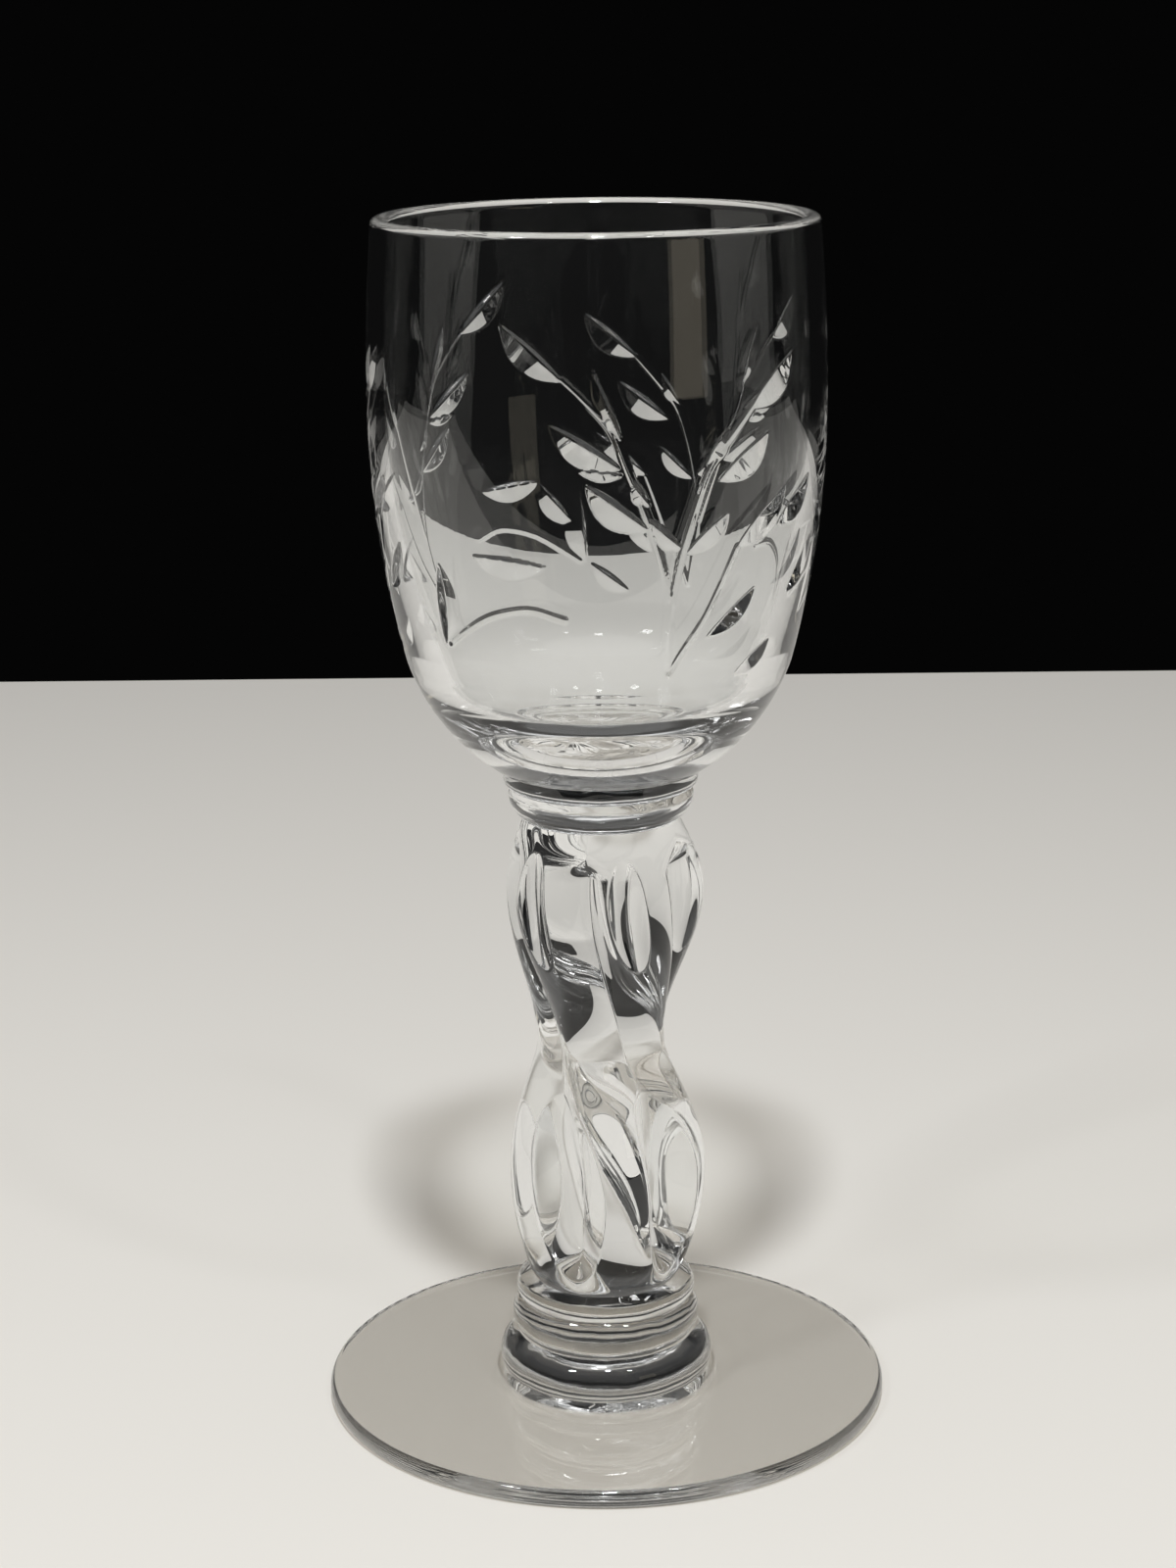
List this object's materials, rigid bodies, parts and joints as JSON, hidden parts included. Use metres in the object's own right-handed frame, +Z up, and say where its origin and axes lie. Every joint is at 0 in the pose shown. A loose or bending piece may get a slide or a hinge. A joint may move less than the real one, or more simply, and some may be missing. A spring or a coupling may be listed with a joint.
{
  "type": "cordial glass",
  "caption": "Small stemmed glass: clear cut bowl on a short twisted hourglass stem with rounded collars, a button and a flat round foot.",
  "frame": {"origin": "centre of the foot's underside, on the surface that the glass stands on", "axes": "+Z up along the glass's axis; the pictured side faces -Y"},
  "size_m": [0.0535, 0.0534, 0.1123],
  "materials": {
    "bowl_glass": "clear blown crystal, fire polished, with polished wheel cuts",
    "stem_glass": "clear solid crystal, tooled hot and polished",
    "foot_glass": "clear crystal plate, fire polished"
  },
  "bodies": {
    "root": {"bowl": "bowl_glass", "upper_wafer": "stem_glass", "upper_collar": "stem_glass", "stem": "stem_glass", "lower_collar": "stem_glass", "lower_wafer": "stem_glass", "knop": "stem_glass", "foot": "foot_glass"}
  },
  "joints": []
}
